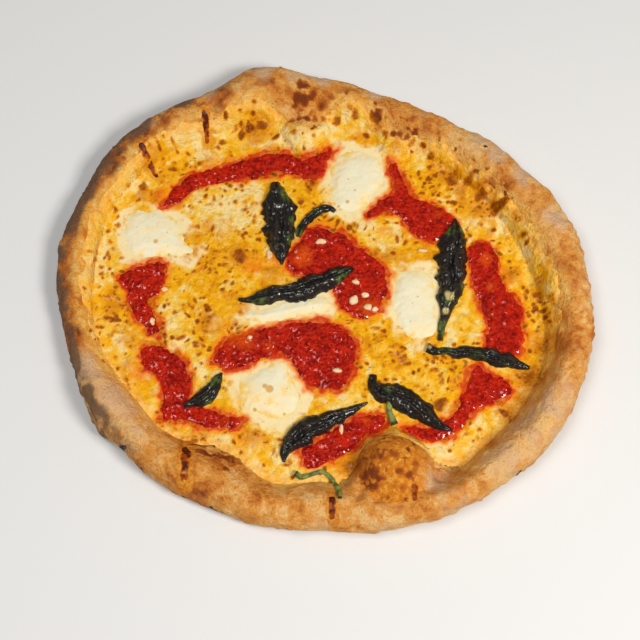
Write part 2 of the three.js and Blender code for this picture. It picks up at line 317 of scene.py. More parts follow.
toasted = [
    (-112, 68, 12, 1), (-124, 52, 11, 1), (-133, 34, 10, 1), (-137, 5, 10, 0.9), (-133, -28, 9, 1),
    (-139, -14, 8, 0.8), (-61, 106, 9, 1), (-91, 91, 9, 0.9), (-102, 82, 9, 1), (0, 114, 11, 0.5),
    (-32, 119, 10, 0.7), (29, 108, 10, 0.5), (55, 95, 9, 0.6), (92, 54, 8, 1), (98, 58, 7, 0.7),
    (-55, -94, 7, 0.7), (-32, -113, 7, 0.5), (-66, -112, 8, 0.8), (30, -113, 7, 0.3), (127, -32, 8, 0.5),
    (131, 2, 8, 0.5), (-118, -68, 7, 0.3), (-96, -97, 6, 0.5),
]
# Where the dough has blistered into small spots, and how thickly
leopard = [
    (-60, 100, 12, 1), (-24, 106, 12, 0.7), (22, 104, 16, 1), (48, 92, 12, 0.9), (70, 82, 12, 1),
    (93, 55, 12, 1.2), (84, 66, 10, 1), (118, 12, 10, 0.6), (125, -28, 9, 0.7), (-52, -94, 10, 1.2),
    (-100, 78, 9, 0.7), (-124, 18, 8, 0.6), (-128, -12, 8, 0.5), (62, -100, 8, 0.6), (-6, 100, 10, 0.9),
]


def streaks(points, lines):
    """The strongest of soft strokes from (x, y) to (x, y) with a half width and an amount."""
    total = np.zeros(len(points))
    wobble = np.column_stack([noise(points, 5 * mm, seed) for seed in (3, 4)]) * 1.1 * mm
    places = points[:, :2] + wobble
    for x, y, end_x, end_y, radius, amount in lines:
        start = np.array([x, y]) * mm
        line = np.array([end_x, end_y]) * mm - start
        share = np.clip((places - start) @ line / (line @ line), 0, 1)
        gap = np.linalg.norm(places - start - share[:, None] * line, axis=1) / (radius * mm)
        total = np.maximum(total, amount * ramp(gap, 1.15, 0.7))
    return total


dice = np.random.default_rng(7)


def bumps_on(points, places, radii):
    """The height from 0 to 1 of the highest of round bumps at the places."""
    total = np.zeros(len(points))
    for place, radius in zip(places, radii):
        close = np.flatnonzero(np.abs(points - place).max(axis=1) < radius)
        near = np.linalg.norm(points[close] - place, axis=1) / radius
        total[close] = np.maximum(total[close], np.clip(1 - near ** 2, 0, 1))
    return total


def ring_faces(index):
    """The faces between rows of vertices that each run right round."""
    turned = np.roll(index, -1, axis=1)
    return np.stack([index[:-1], index[1:], turned[1:], turned[:-1]], axis=-1).reshape(-1, 4)


def swirled(points, size, amount, first_seed):
    """The points moved a little by seeded noise, so that edges found from them wander."""
    shifts = [noise(points, size, first_seed + step) for step in range(3)]
    return points + amount * np.column_stack(shifts)


def mottled(points, rough_points):
    """Noise from 0 to 1 that breaks a scorched place up into blotches."""
    uneven = noise(points, 3.4 * mm, 37) + 0.5 * noise(rough_points, 1.6 * mm, 38)
    return ramp(uneven, -0.5, 0.4)


def burnt_into(points, fray):
    """How deeply the small burns have taken at points on the plan."""
    depth = np.zeros(len(points))
    for x, y, radius, amount in burns:
        near = np.hypot(points[:, 0] - x * mm, points[:, 1] - y * mm) / (radius * mm) + 0.4 * fray
        depth = np.maximum(depth, amount * np.sqrt(np.clip(1 - np.maximum(near, 0) ** 2, 0, 1)))
    return depth


blister_count = 300
candidates = np.flatnonzero((across > 0.12) & (standing > 0.9))
blister_places = rough[dice.choice(candidates, blister_count)]
blister_radii = dice.uniform(1.2, 4.5, blister_count) * mm
blisters = 0.7 * bumps_on(rough, blister_places, blister_radii) ** 2
warped = swirled(rough, 9 * mm, 2 * mm, 11)
ribs = np.sin(angle * 2.6 + 2.5 * noise(rough, 14 * mm, 9))
ribbed_side = -2
from_ribs = np.abs((angle + 180) % 360 - 180 - ribbed_side)
rib_zone = ramp(from_ribs, 26, 14) * ramp(across, 0.5, 0.75)
relief = (
    1.5 * noise(rough, 38 * mm, 1) + 1.0 * noise(warped, 17 * mm, 2) + 0.5 * noise(warped, 8 * mm, 3)
    + 0.34 * noise(warped, 3.6 * mm, 4) + 0.16 * noise(rough, 2.1 * mm, 5)
)
spotty = noise(warped, 3.6 * mm, 26) + 0.6 * noise(rough, 1.9 * mm, 27)
spots = ramp(spotty, 0.45, 0.8) * np.clip(blobs(rough, leopard), 0, 1) * ramp(across, 0.75, 0.55)
relief = relief * rim_share + blisters + 0.4 * spots + 0.3 * ribs * rib_zone
relief = relief.reshape(reach.shape) * standing.reshape(reach.shape) * mm

fine_reach = reach - slope[..., 1] * relief
fine_height = height + slope[..., 0] * relief
crust_points = np.stack(
    [hub[0] + fine_reach * cosine, hub[1] + fine_reach * sine, fine_height], axis=-1
).reshape(-1, 3)
for x, y, radius, rise in domes:
    near = np.hypot(crust_points[:, 0] - x * mm, crust_points[:, 1] - y * mm) / (radius * mm)
    cap = np.sqrt(np.clip(1 - near ** 2, 0, 1))
    if rise > 5:
        top = 4 * mm + rise * mm * cap + 0.5 * mm * noise(crust_points, 6 * mm, 8)
        lifted = np.where(near < 1, np.maximum(crust_points[:, 2], top), crust_points[:, 2])
    else:
        lifted = crust_points[:, 2] + rise * mm * cap ** 2 * standing
    crust_points[:, 2] = np.where(beyond_edge.ravel() > 0, crust_points[:, 2], lifted)
crust_points[:, 2] = np.maximum(crust_points[:, 2], 0)

rows = len(row_places)
grid = np.arange(rows * columns).reshape(rows, columns)
top_hub, low_hub = rows * columns, rows * columns + 1
fans = [(top_hub, grid[0, i - 1], grid[0, i]) for i in range(columns)]
fans += [(low_hub, grid[-1, i], grid[-1, i - 1]) for i in range(columns)]
hubs = [(*hub, sections[:, 0, 1].mean()), (*hub, 0)]

# How far cheese and oil climb up the rim, every 15 degrees round from +X, in millimetres
climbs = np.array([
    11, 10, 9, 9, 9, 10, 13, 12, 9, 10, 9, 8,
    7, 5, 2, 1, 1, 1, 2, 2, 2, 2, 3, 7,
]) * mm

# How the oven coloured it: toasted on the tops, floury where the hands left flour,
# charred at the edge, darkened grey-brown on the left outer side by soot and painted shade,
# and oily where the topping touches the rim
tops = noise(warped, 17 * mm, 2) * 0.5 + noise(warped, 8 * mm, 3) * 0.3
toast = 0.28 + 0.55 * blobs(crust_points, toasted) + 0.26 * tops + 0.2 * blisters
toast += 0.2 * noise(warped, 5 * mm, 6) + 0.16 * noise(rough, 2.4 * mm, 7)
toast -= 0.3 * blobs(crust_points, floury)
flour = blobs(crust_points, floury) * ramp(noise(warped, 7 * mm, 14), -0.9, 0.3)
low_edge = ramp(crust_points[:, 2], 10 * mm, 5 * mm) * ramp(across, 0.75, 0.95)
flour = np.maximum(flour, 0.6 * low_edge * ramp(noise(warped, 6 * mm, 15), -0.3, 0.6))
char = blobs(warped, scorches, 1.4) * ramp(noise(warped, 4.5 * mm, 36), -0.5, 0.1)
speckle = ramp(noise(warped, 4 * mm, 16) + 0.5 * noise(rough, 1.7 * mm, 17), 0.55, 0.95)
char = np.maximum(char, speckle * ramp(crust_points[:, 2], 14 * mm, 7 * mm) * ramp(across, 0.7, 0.9))
past_foot = (reach - foot_reach - smooth_through(climbs, turns / 2 / math.pi * len(climbs), True)).ravel()
past_foot += 3 * mm * noise(warped, 12 * mm, 18) + 1.5 * mm * noise(warped, 4 * mm, 25)
oil = ramp(past_foot, 9 * mm, -3 * mm)
bubble_x, bubble_y, bubble_radius, _ = np.array(big_bubble) * mm
from_bubble = np.hypot(crust_points[:, 0] - bubble_x, crust_points[:, 1] - bubble_y)
on_bubble = ramp(from_bubble, bubble_radius, bubble_radius - 4 * mm)
lace = ramp(1 - np.abs(noise(warped, 4 * mm, 19)) * 2.4, 0.3, 1)
lace *= ramp(noise(warped, 9 * mm, 30), -0.5, 0.3)
patches = ramp(noise(warped, 2.8 * mm, 20) + 0.8 * noise(rough, 1.4 * mm, 24), 0.1, 1.1)
patches *= ramp(noise(warped, 9 * mm, 34), -0.7, 0.2)
brown_net = [(36, -94, 9, 1), (46, -105, 8, 0.8), (24, -106, 5, 1)]
pale_net = [(53, -103, 9, 1.2), (30, -112, 6, 0.7), (26, -90, 6, 0.6), (48, -92, 6, 0.8)]
netted = 0.85 + 0.5 * blobs(warped, brown_net) - 0.6 * blobs(warped, pale_net)
# The net also holds painted shade at the creases at the foot of the rim.
net = np.max([
    on_bubble * netted * np.maximum(0.85 * lace, patches),
    0.95 * spots,
    1.1 * mottled(warped, rough) * blobs(warped, blotches),
    0.75 * blobs(warped, shaded_and_toasted_creases),
    burnt_into(crust_points, noise(rough, 2.2 * mm, 39)),
], axis=0)
# The left outer side of the rim, away from the lights, is darkened grey-brown: partly soot and partly
# painted shade.
shaded_sooty_side = 168
sooty_and_shaded = ramp(across, 0.5, 0.8) * ramp(np.abs(angle - shaded_sooty_side), 66, 38)
soot_and_shade = sooty_and_shaded * ramp(noise(warped, 8 * mm, 28) + 0.5 * noise(rough, 3 * mm, 29), -1.2, 0.4)
halo = streaks(rough, [(*line[:4], line[4] * 1.5, line[5]) for line in drips])
bare = np.clip(blobs(warped, [(58, -104, 8, 1)]), 0, 1)
amber = np.maximum(0.85 * on_bubble * (1 - bare), 0.8 * halo)
masks = {
    "toast": toast, "flour": flour, "char": char, "oil": oil, "amber": amber, "net": net, "soot_and_shade": soot_and_shade,
}
masks = {name: np.append(np.clip(values, 0, 1), [0, 0]) for name, values in masks.items()}
crust_vertices = np.concatenate([crust_points, hubs]).tolist()
crust = mesh_object("baked_crust", crust_vertices, ring_faces(grid).tolist() + fans, masks)

baked = Finish(
    "baked_dough", Subsurface_Weight=0.08, Subsurface_Scale=0.003, Specular_IOR_Level=0.3,
    Coat_Roughness=0.15, Coat_IOR=1.3,
)
coarse, middling, fine = baked.grain(0.007), baked.grain(0.003), baked.grain(0.0013)
pores = baked.grain(0.0006, 2.0)
mottle = (coarse - 0.5) * 0.4 + (middling - 0.5) * 0.6 + (fine - 0.5) * 0.5
tone = baked.mask("toast") + mottle
colour = baked.mix(tone.between(0.0, 0.35), linear(240, 188, 116), linear(228, 152, 62))
colour = baked.mix(tone.between(0.3, 0.7), colour, linear(188, 100, 26))
colour = baked.mix(tone.between(0.65, 1.05), colour, linear(100, 50, 20))
dusted = baked.mask("flour") + mottle * 0.8 + (pores - 0.5) * 0.6
colour = baked.mix(dusted.between(0.15, 0.8) * 0.9, colour, linear(222, 178, 136))
oiled = (baked.mask("oil") + mottle * 0.5).between(0.15, 0.85)
golden_dough = baked.mix(middling.between(0.35, 0.65), linear(240, 162, 48), linear(246, 198, 108))
colour = baked.mix(oiled * 0.85, colour, golden_dough)
blushed = baked.mask("amber") + mottle * 0.5
bubble_tone = baked.mix(middling.between(0.4, 0.7), linear(216, 122, 10), linear(240, 168, 58))
colour = baked.mix(blushed.between(0.1, 0.9), colour, bubble_tone)
net = baked.mask("net") + mottle * 0.5
colour = baked.mix(net.between(0.12, 0.45) * 0.8, colour, linear(200, 106, 10))
colour = baked.mix(net.between(0.4, 0.85), colour, linear(140, 62, 8))
colour = baked.mix(net.between(0.85, 1.25), colour, linear(78, 30, 6))
pitted = (fine + pores * 0.5).between(0.83, 0.95) * 0.3
colour = baked.mix(pitted, colour, linear(140, 78, 28))
# Grey-brown soot and painted shade on the left outer side of the rim.
sooted_and_shaded = baked.mask("soot_and_shade") + mottle * 0.7
colour = baked.mix(sooted_and_shaded.between(0.05, 0.9) * 0.9, colour, linear(112, 82, 58))
singed = baked.mask("char") + (fine - 0.5) * 0.6
colour = baked.mix(singed.between(0.35, 0.65), colour, linear(44, 28, 18))
glossy = oiled * middling.between(0.45, 0.7) * 0.6
baked.surface(Base_Color=colour, Roughness=0.8 - 0.38 * oiled, Coat_Weight=glossy)
baked.bump(middling * 0.35 + fine * 0.4 + pores * 0.25, 0.003)
crust.data.materials.append(baked.material)
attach(crust, "root")
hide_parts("crust")

# A table of the crust's height, so that everything above can lie on it
table_step = 0.5 * mm
table_reaches = np.arange(0, 150 * mm, table_step)
upper_points = crust_points.reshape(rows, columns, 3)[row_places <= edge_place]
upper_reaches = np.hypot(upper_points[..., 0] - hub[0], upper_points[..., 1] - hub[1])
upper_reaches = np.maximum.accumulate(upper_reaches, axis=0)
height_table = np.stack([
    np.interp(table_reaches, upper_reaches[:, column], upper_points[:, column, 2])
    for column in range(columns)
])


def polar_lookup(x, y):
    """Distance from the hub and fractional column for points on the plan."""
    turn = np.arctan2(y - hub[1], x - hub[0]) / (2 * math.pi) % 1 * columns
    return np.hypot(x - hub[0], y - hub[1]), turn


def dough_height(x, y):
    """Height of the finished crust at points on the plan."""
    distance, turn = polar_lookup(x, y)
    place = np.clip(distance / table_step, 0, len(table_reaches) - 1.001)
    column, step = np.floor(turn).astype(int), np.floor(place).astype(int)
    side, up = turn - column, place - step
    column, next_column = column % columns, (column + 1) % columns
    low = height_table[column, step] * (1 - side) + height_table[next_column, step] * side
    high = height_table[column, step + 1] * (1 - side) + height_table[next_column, step + 1] * side
    return low * (1 - up) + high * up


# The cheese is grated, melted in the oven into one thin golden layer that runs a little way
# up the rim. Oil has pooled in it, pale lumps stand in it and its bubbles have browned.
cheese_step = 0.75 * mm
cheese_level = 6.3 * mm
# How far the sauce and the mozzarella have crept out over the cheese
sauce_spread = 0.6 * mm
mozzarella_spread = 0.8 * mm
sauce_names = [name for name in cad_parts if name.startswith("sauce_")]
mozzarella_names = [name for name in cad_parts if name.startswith("mozzarella_")]
# Places on the cheese, as millimetres to the right, away, radius and amount: where it is
# golden and where it is pale
golden = [
    (-65, 9, 24, 1), (-48, -4, 16, 0.8), (-42, 27, 13, 0.6), (32, -31, 18, 1), (30, -50, 12, 0.7),
    (60, 23, 15, 1), (64, -47, 15, 0.9), (46, -42, 12, 0.7), (-2, 46, 12, 0.8), (14, 40, 10, 0.6),
    (-112, -8, 13, 1), (-64, -30, 9, 0.8), (-31, -82, 8, 0.6), (-44, -78, 7, 0.5), (60, -5, 8, 0.7),
    (-70, -28, 9, 0.6), (44, -18, 9, 0.8), (-95, 5, 8, 0.5), (-98, -58, 9, 0.5), (60, 60, 12, 0.6),
    (100, 10, 12, 0.7), (112, -10, 12, 0.8), (-80, 72, 12, 0.6), (-38, 90, 12, 0.5), (-30, 55, 10, 0.5),
]
creamy = [
    (-29, 85, 7, 0.9), (-115, 10, 6, 0.9), (-72, 44, 6, 0.5), (2, 60, 5, 0.4), (-18, -88, 6, 0.6),
    (-55, 44, 16, 0.8), (8, -70, 9, 0.7), (-59, -17, 7, 0.3), (22, 36, 9, 0.4), (-82, -12, 9, 0.7),
    (-25, -77, 10, 0.5), (52, 88, 9, 0.5), (-50, 60, 10, 0.6), (-9, 92, 9, 0.9), (-70, -40, 8, 0.5),
    (48, -96, 9, 0.8), (66, -84, 9, 0.8), (-60, -84, 8, 0.4), (-74, 85, 10, 0.8), (10, 95, 10, 0.4),
    (-20, -28, 8, 0.4), (-5, -10, 8, 0.5), (-78, -32, 6, 0.8), (60, 40, 6, 0.4), (-44, 38, 10, 0.5),
    (100, 40, 6, 0.5),
]
# Where the oven has turned the cheese from gold to amber
ambered = [
    (101, 10, 8, 1), (-105, -26, 7, 0.7), (-104, -44, 7, 0.7), (-72, 30, 9, 0.6), (-28, 12, 9, 0.8),
    (-37, 52, 8, 0.5), (-45, -12, 8, 0.5), (33, 20, 8, 0.9), (42, 18, 8, 0.7), (-64, 76, 8, 0.7),
    (-2, -60, 7, 0.4), (-99, 54, 6, 0.9), (52, -30, 7, 0.4), (77, 56, 10, 1), (86, 47, 9, 0.9),
    (68, 66, 8, 0.9), (94, 37, 7, 0.6), (-62, -18, 8, 0.9), (-55, 36, 9, 0.5), (-36, -79, 8, 0.8),
    (-38, 95, 11, 0.9), (40, 17, 7, 0.6), (98, -70, 8, 1), (107, -52, 7, 0.9), (-64, 36, 7, 0.6),
    (-72, 27, 6, 0.6), (-45, -56, 5, 0.7), (-46, 19, 9, 0.8), (-112, -10, 9, 0.7), (-100, -30, 9, 0.4),
    (36, 10, 5, 0.5), (92, -64, 6, 0.5), (-66, -82, 8, 0.7), (-88, 66, 8, 0.5), (20, 92, 9, 0.6),
    (46, 80, 8, 0.5), (112, 0, 8, 0.5), (116, -18, 7, 0.5),
]
# Where the cheese stays yellow right up to a mozzarella pool
yellowed = [
    (60, -26, 10, 1), (44, -27, 8, 0.9), (-72, 28, 7, 1), (41, 10, 7, 0.9), (-2, 56, 7, 0.9),
    (-99, 47, 6, 1), (-44, -62, 6, 0.7), (-53, -53, 6, 0.7), (-45, -9, 7, 0.8), (-37, 50, 7, 0.6),
]
# Single bubbles that have browned, with their radius
browned_spots = [
    (-124, -25, 1.6), (62, -63, 4.6), (95, -68, 2.6), (-46, 19, 5.0), (-68, -17, 2.8), (-87, -9, 1.5),
    (109, -33, 2.0), (118, -15, 2.4), (107, -21, 2.0), (36, 22, 2.4), (-35, 30, 1.6), (41, 40, 1.6),
    (83, 66, 3.0), (56, 84, 2.2), (-60, 84, 2.0), (-27, 91, 2.4), (-70, 74, 2.0), (24, 92, 2.2),
]
# Where the cheese has blistered into many small browned spots, and where tomato has run
# into it away from the sauce
speckled = [
    (-55, 42, 24, 1), (-66, 24, 16, 0.8), (-100, -20, 18, 0.8), (-46, -24, 10, 0.6), (60, -40, 22, 0.5),
    (-2, 48, 12, 0.6), (88, 50, 12, 0.6), (108, -10, 12, 0.7), (-88, 70, 14, 0.7), (-36, 92, 12, 0.7),
    (-70, -84, 10, 0.7), (-110, 40, 10, 0.7), (20, -60, 10, 0.4), (66, 66, 12, 0.5),
]
stains = [
    (-95, -44, 6, 1), (-91, 55, 6, 0.9), (-38, 14, 8, 0.7), (-26, 18, 6, 0.7), (14, -2, 8, 0.7),
    (24, -14, 6, 0.6), (-52, -20, 6, 0.5), (-60, 76, 5, 0.5), (-105, 12, 4, 0.5), (34, 34, 5, 0.5),
    (-112, 2, 4, 0.4), (92, -5, 5, 0.7), (84, 14, 4, 0.6), (-96, -20, 4, 0.4), (58, -70, 6, 0.5),
    (-44, -80, 5, 0.5),
]
surfaces = []


def outline_of(node):
    """The corners of a flat-bottomed node's underside, in order, on the plan."""
    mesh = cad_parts[node].data
    places = np.round([vertex.co for vertex in mesh.vertices], 6)
    lowest = places[:, 2].min()
    mesh.calc_loop_triangles()
    follows = {}
    edges = set()
    for triangle in mesh.loop_triangles:
        corners = [tuple(places[index]) for index in triangle.vertices]
        if all(corner[2] < lowest + 0.01 * mm for corner in corners):
            edges.update(zip(corners, corners[1:] + corners[:1]))
    for start, end in edges:
        if (end, start) not in edges:
            follows[start] = end
    corner = next(iter(follows))
    ring = []
    while corner in follows:
        ring.append(corner[:2])
        corner = follows.pop(corner)
    return np.array(ring)


def inside_distance(plan, outline):
    """Distance to the outline, positive inside it and negative outside."""
    gap = np.full(len(plan), 1.0)
    inside = np.zeros(len(plan), bool)
    for start, end in zip(outline, np.roll(outline, -1, axis=0)):
        line = end - start
        share = np.clip((plan - start) @ line / (line @ line), 0, 1)
        gap = np.minimum(gap, np.linalg.norm(plan - start - share[:, None] * line, axis=1))
        if start[1] != end[1]:
            crossing = start[0] + (plan[:, 1] - start[1]) / line[1] * line[0]
            inside ^= ((start[1] > plan[:, 1]) != (end[1] > plan[:, 1])) & (plan[:, 0] < crossing)
    return np.where(inside, gap, -gap)


def lying(plan):
    """Points on the plan with a height of nothing, for noise."""
    return np.column_stack([plan, np.zeros(len(plan))])


def frayed(plan, amount):
    """A small uneven shift of an edge, in metres."""
    flat = lying(plan)
    waves = noise(flat, 7 * mm, 21) + 0.7 * noise(flat, 3.2 * mm, 22) + 0.4 * noise(flat, 1.6 * mm, 23)
    return amount * waves


def plan_grid(low, high, step):
    """Points of a square grid on the plan, and how many there are each way."""
    across_x = np.arange(low[0], high[0], step)
    across_y = np.arange(low[1], high[1], step)
    x, y = np.meshgrid(across_x, across_y)
    return np.column_stack([x.ravel(), y.ravel()]), x.shape


def sheet(name, plan, shape, heights, kept, masks):
    """A sheet over a plan grid, made of the squares whose corners are all kept."""
    index = np.arange(len(plan)).reshape(shape)
    squares = np.stack([index[:-1, :-1], index[:-1, 1:], index[1:, 1:], index[1:, :-1]], axis=-1)
    squares = squares.reshape(-1, 4)
    squares = squares[kept[squares].all(axis=1)]
    used, faces = np.unique(squares, return_inverse=True)
    vertices = np.column_stack([plan, heights])[used]
    surfaces.append((plan[0], plan[1, 0] - plan[0, 0], np.where(kept, heights, 0).reshape(shape)))
    own_masks = {mask: np.clip(values[used], 0, 1) for mask, values in masks.items()}
    return mesh_object(name, vertices.tolist(), faces.reshape(-1, 4).tolist(), own_masks)


def crumbs(plan, count, low, high, seed, weights=None):
    """The height from 0 to 1 of the nearest of many small round bumps."""
    draw = np.random.default_rng(seed)
    centres = plan[draw.choice(len(plan), count, p=weights)]
    return bumps_on(plan, centres, draw.uniform(low, high, count) * mm)


sauce_outlines = {name: outline_of(name) for name in sauce_names}
mozzarella_outlines = {name: outline_of(name) for name in mozzarella_names}
plan, shape = plan_grid(cad_bounds[0][:2], cad_bounds[1][:2], cheese_step)
flat = lying(plan)
distance, turn = polar_lookup(plan[:, 0], plan[:, 1])
foot = foot_reach[np.rint(turn).astype(int) % columns]
climb = smooth_through(climbs, turn / columns * len(climbs), True)
beyond = distance - foot - climb + 2.2 * mm * (noise(flat, 9 * mm, 31) + 0.7 * noise(flat, 3.5 * mm, 32))
in_sauce = np.max([inside_distance(plan, ring) for ring in sauce_outlines.values()], axis=0)
in_sauce = in_sauce + sauce_spread + frayed(plan, 1.3 * mm)
in_mozzarella = np.max([inside_distance(plan, ring) for ring in mozzarella_outlines.values()], axis=0)
in_mozzarella = in_mozzarella + mozzarella_spread + frayed(plan, 1.2 * mm)

drift = swirled(flat, 8 * mm, 2 * mm, 33)
lump_count, spot_count = 620, 1500
pale_lumps = crumbs(drift[:, :2], lump_count, 1.8, 5.5, 36)
spot_weights = (0.2 + blobs(plan, golden) + 0.9 * blobs(plan, speckled)) * (distance < foot + climb)
spot_weights = spot_weights / spot_weights.sum()
small_spots = crumbs(drift[:, :2], spot_count, 0.8, 2.1, 37, spot_weights)
browned_spots = np.array(browned_spots) * mm
big_spots = bumps_on(drift[:, :2], browned_spots[:, :2], browned_spots[:, 2])
lumpy = 0.45 * noise(flat, 24 * mm, 38) + 0.3 * noise(drift, 9 * mm, 39) + 0.2 * noise(drift, 4 * mm, 40)
lumpy += 0.1 * noise(flat, 1.8 * mm, 41) + 0.5 * pale_lumps + 0.3 * small_spots + 0.6 * big_spots
calm = (1 - 0.85 * ramp(in_mozzarella, -7 * mm, -1 * mm)) * (1 - 0.5 * ramp(in_sauce, -2.5 * mm, 0))
level = cheese_level + calm * lumpy * mm
level -= 1.6 * mm * ramp(in_sauce, 1.6 * mm, 3.4 * mm) + 1.2 * mm * ramp(in_mozzarella, 3 * mm, 6 * mm)
film = 0.15 * mm + (0.6 + 0.35 * lumpy) * mm * np.clip(-beyond / (7 * mm), 0, 1) ** 1.2
film -= 3.2 * mm * ramp(beyond, -1 * mm, 2.5 * mm)
nearby = [(0, 0), (0.7, 0), (-0.7, 0), (0, 0.7), (0, -0.7)]
nearby += [(0.5, 0.5), (-0.5, 0.5), (0.5, -0.5), (-0.5, -0.5)]
under = [dough_height(plan[:, 0] + x * mm, plan[:, 1] + y * mm) for x, y in nearby]
end_share = ramp(beyond, -5 * mm, -1 * mm)
on_rim = np.max(under, axis=0) * (1 - end_share) + under[0] * end_share + film
corner = (0.6 + 4.4 * ramp(distance - foot, -5 * mm, 0)) * mm
overlap = np.maximum(corner - np.abs(on_rim - level), 0)
cheese_height = np.maximum(on_rim, level) + overlap ** 2 / (4 * corner)

gold = 0.52 + 0.5 * blobs(drift, golden) - 0.6 * blobs(drift, creamy) - 0.3 * pale_lumps
gold += 0.34 * noise(drift, 7 * mm, 42) + 0.3 * noise(drift, 3 * mm, 43) - 0.08
milk_edge = in_mozzarella + 3.0 * mm * noise(drift, 6 * mm, 46) + 1.5 * mm * noise(drift, 2.5 * mm, 47)
milk = ramp(milk_edge, -6.5 * mm, -0.5 * mm) * (1 - 0.85 * np.clip(blobs(drift, yellowed), 0, 1))
spot_strength = ramp(noise(flat, 14 * mm, 44), -1.1, 0.3) * (0.95 + 0.5 * noise(drift, 3 * mm, 48))
brown = np.maximum(small_spots * spot_strength, big_spots * (1.2 + 0.5 * noise(drift, 2.5 * mm, 49)))
# The creases add painted shade at the foot of the rim to the browned cheese.
brown = np.max([
    brown * (1 - 0.7 * milk),
    0.9 * mottled(drift, flat) * blobs(drift, blotches),
    burnt_into(plan, noise(flat, 2.2 * mm, 39)),
    0.6 * blobs(drift, shaded_and_toasted_creases),
], axis=0)
stain = in_sauce + 0.2 * mm + 2.2 * mm * noise(drift, 6 * mm, 45) + 0.8 * mm * noise(drift, 2.5 * mm, 51)
tomato = np.maximum(1.05 * np.exp(np.minimum(stain, 0) / (2.2 * mm)), blobs(drift, stains))
round_drips = [(*line[:4], line[4] * 2, line[5]) for line in drips]
# The creases add painted shade at the foot of the rim to the amber cheese too.
amber = np.max([
    blobs(drift, ambered), 0.7 * streaks(drift, round_drips), 0.9 * blobs(drift, shaded_and_toasted_creases),
], axis=0) * ramp(noise(drift, 5 * mm, 50), -1.1, 0.2)
cheese = sheet("melted_cheese_layer", plan, shape, cheese_height, beyond < 2.5 * mm, {
    "gold": gold, "amber": amber, "milk": milk, "brown": brown, "tomato": tomato,
    "rim": ramp(beyond, -7 * mm, -1 * mm),
})
melted = Finish(
    "melted_cheese", Subsurface_Weight=0.05, Subsurface_Scale=0.003, Specular_IOR_Level=0.1,
    Coat_Roughness=0.12, Coat_IOR=1.3,
)
coarse, middling, fine = melted.grain(0.009), melted.grain(0.0035), melted.grain(0.0014)
tone = melted.mask("gold") + (coarse - 0.5) * 0.9 + (middling - 0.5) * 1.1 + (fine - 0.5) * 0.4
colour = melted.mix(tone.between(0.0, 0.35), linear(242, 213, 140), linear(241, 192, 74))
colour = melted.mix(tone.between(0.35, 0.65), colour, linear(240, 172, 8))
colour = melted.mix(tone.between(0.7, 1.15), colour, linear(218, 138, 0))
ambered_tone = melted.mask("amber") + (middling - 0.5) * 0.8
colour = melted.mix(ambered_tone.between(0.1, 0.7) * 0.8, colour, linear(222, 142, 12))
colour = melted.mix(ambered_tone.between(0.6, 1.2) * 0.8, colour, linear(164, 90, 10))
edge_tone = melted.mix(middling.between(0.35, 0.65), linear(240, 162, 48), linear(246, 198, 108))
colour = melted.mix(melted.mask("rim") * (0.6 + 0.4 * coarse), colour, edge_tone)
milky = melted.mask("milk") + (coarse - 0.5) * 0.6 + (middling - 0.5) * 0.5
colour = melted.mix(milky.between(0.25, 0.95), colour, linear(240, 218, 162))
stained = melted.mask("tomato") + (middling - 0.5) * 0.5
colour = melted.mix(stained.between(0.15, 0.75) * 0.8, colour, linear(238, 122, 10))
colour = melted.mix(stained.between(0.75, 1.1), colour, linear(196, 40, 6))
browned = melted.mask("brown") + (fine - 0.5) * 0.8
colour = melted.mix(browned.between(0.0, 0.5) * 0.75, colour, linear(216, 132, 0))
colour = melted.mix(browned.between(0.4, 0.85) * 0.9, colour, linear(156, 78, 2))
colour = melted.mix(browned.between(0.8, 1.25), colour, linear(84, 34, 4))
wet = (middling - 0.5) * 1.4 + tone.between(0.3, 0.9) * 0.5
melted.surface(Base_Color=colour, Roughness=0.55 - 0.2 * coarse, Coat_Weight=wet.between(0.2, 0.7) * 0.7)
rough_share = 1 - 0.75 * milky.between(0.3, 0.75)
melted.bump((coarse * 0.35 + middling * 0.5 + fine * 0.15 - 0.5) * rough_share + 0.5, 0.0036)
cheese.data.materials.append(melted.material)
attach(cheese, "root")
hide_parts("melted_cheese")

# The sauce is crushed tomato, spooned on in patches. It stands wet and pulpy between the
# cheese, whose edge hides its own, and turns orange where cheese has run into it.
sauce_step = 0.6 * mm
sauce_level = 6.1 * mm
margin = 3 * mm
# Where the sauce is thin and orange
thin_places = [
    (-44, -26, 11, 0.9), (-30, -30, 8, 0.6), (-12, 20, 9, 0.9), (24, -10, 10, 0.8), (30, -2, 6, 0.5),
    (36, 62, 8, 0.7), (62, 44, 6, 0.6), (88, 18, 6, 0.8), (90, 2, 5, 0.8), (88, -12, 5, 0.6),
    (-104, -8, 5, 0.6), (-86, 12, 5, 0.6), (-60, 72, 5, 0.5), (-6, 66, 6, 0.6), (56, -70, 7, 0.8),
    (-52, -72, 7, 0.6), (-80, -64, 5, 0.4), (22, -72, 5, 0.7), (0, -52, 4, 0.4), (72, -50, 4, 0.5),
]


def swelling(inward, width):
    """How far a soft patch has swollen to its full height, from 0 at its edge to 1 inside."""
    return 1 - np.exp(-(np.maximum(inward, 0) / width) ** 2)


